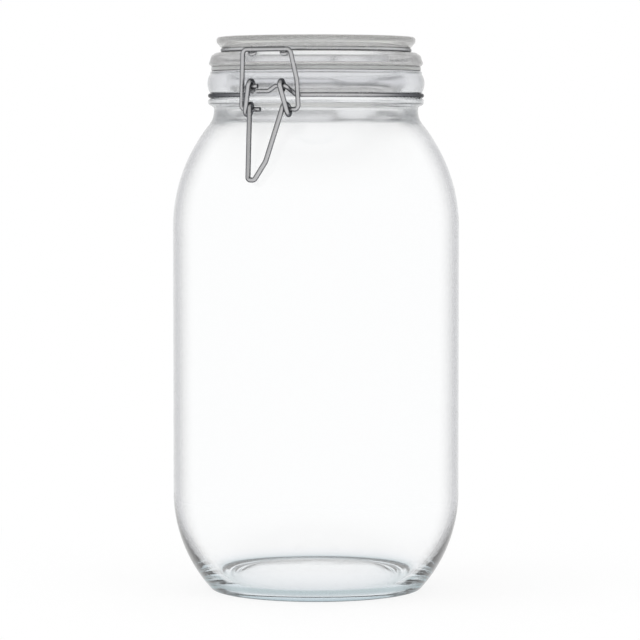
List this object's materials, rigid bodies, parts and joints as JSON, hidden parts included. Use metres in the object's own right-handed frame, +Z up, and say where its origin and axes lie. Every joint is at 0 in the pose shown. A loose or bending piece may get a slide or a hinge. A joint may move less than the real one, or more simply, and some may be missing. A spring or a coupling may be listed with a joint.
{
  "type": "clip-top glass storage jar",
  "caption": "Tall round clear glass canister with a hinged glass lid, a silicone seal and a bent-wire lever clasp that pulls the lid shut.",
  "frame": {"origin": "on the jar's axis, on the plane that the foot stands on", "axes": "+Z up along the jar's axis, -Y towards the clasp, +Y towards the hinge"},
  "size_m": [0.144, 0.1441, 0.278],
  "materials": {
    "jar_glass": "clear blown soda-lime glass",
    "lid_glass": "clear pressed soda-lime glass",
    "seal_silicone": "translucent moulded silicone",
    "wire_steel": "drawn stainless steel wire"
  },
  "bodies": {
    "jar": {"jar_body": "jar_glass", "neck_ring": "wire_steel"},
    "lid": {"lid": "lid_glass", "lid_ring": "wire_steel", "gasket": "seal_silicone"},
    "lever": {"lever": "wire_steel"},
    "yoke": {"yoke": "wire_steel"}
  },
  "joints": [
    {"name": "lid_hinge", "type": "hinge", "parent": "jar", "child": "lid", "pos_m": [0, 0.0585, 0.25806], "axis": [-1, 0, 0], "range_deg": [0, 100]},
    {"name": "lever_pivot", "type": "hinge", "parent": "jar", "child": "lever", "pos_m": [0, -0.0585, 0.25276], "axis": [-1, 0, 0], "range_deg": [0, 50]},
    {"name": "yoke_pivot", "type": "hinge", "parent": "lever", "child": "yoke", "pos_m": [0, -0.0562, 0.24146], "axis": [1, 0, 0], "range_deg": [0, 143]}
  ],
  "couplings": [
    {"joint": "lever_pivot", "follows": "lid_hinge", "ratio": 0.5},
    {"joint": "yoke_pivot", "follows": "lid_hinge", "ratio": 1.43}
  ]
}
